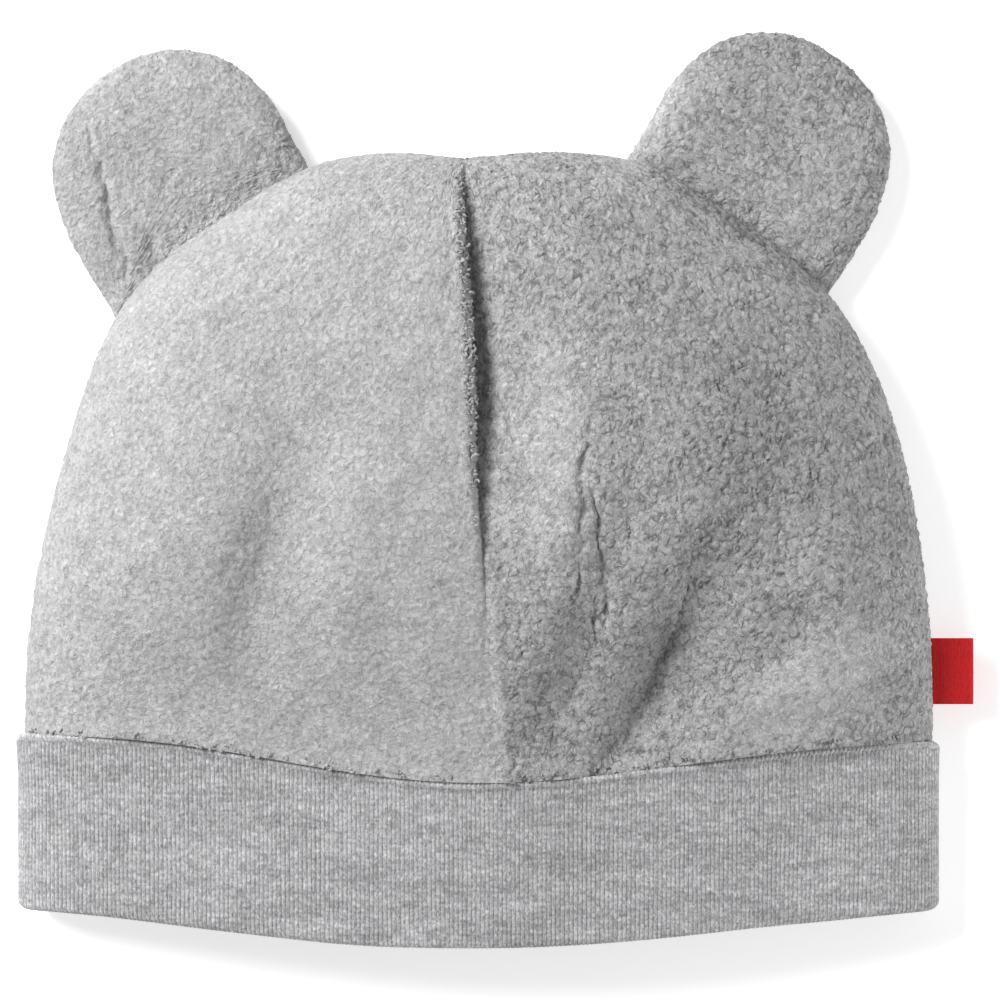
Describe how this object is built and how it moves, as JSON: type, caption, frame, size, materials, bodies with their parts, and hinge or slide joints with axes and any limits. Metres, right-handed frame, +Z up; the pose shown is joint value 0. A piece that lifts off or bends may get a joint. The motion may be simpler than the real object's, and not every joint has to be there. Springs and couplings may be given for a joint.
{
  "type": "baby hat with ears",
  "caption": "Soft grey fleece baby hat with round ears, a folded jersey band and a small red side label, lying flat on its back with its mouth open.",
  "frame": {"origin": "on the table, under the middle of the bounding box", "axes": "+X across the hat, towards the side label; +Y from the mouth to the top of the crown; +Z up, out of the front"},
  "size_m": [0.197, 0.188, 0.0379],
  "materials": {
    "fleece": "curly cotton fleece, heather grey",
    "jersey": "ribbed jersey, heather grey",
    "label_tape": "woven tape, red"
  },
  "bodies": {
    "root": {"crown_front_left": "fleece", "crown_front_right": "fleece", "crown_back_left": "fleece", "crown_back_right": "fleece", "band": "jersey", "ear_front_left": "fleece", "ear_back_left": "fleece", "ear_front_right": "fleece", "ear_back_right": "fleece", "side_label": "label_tape"}
  },
  "joints": []
}
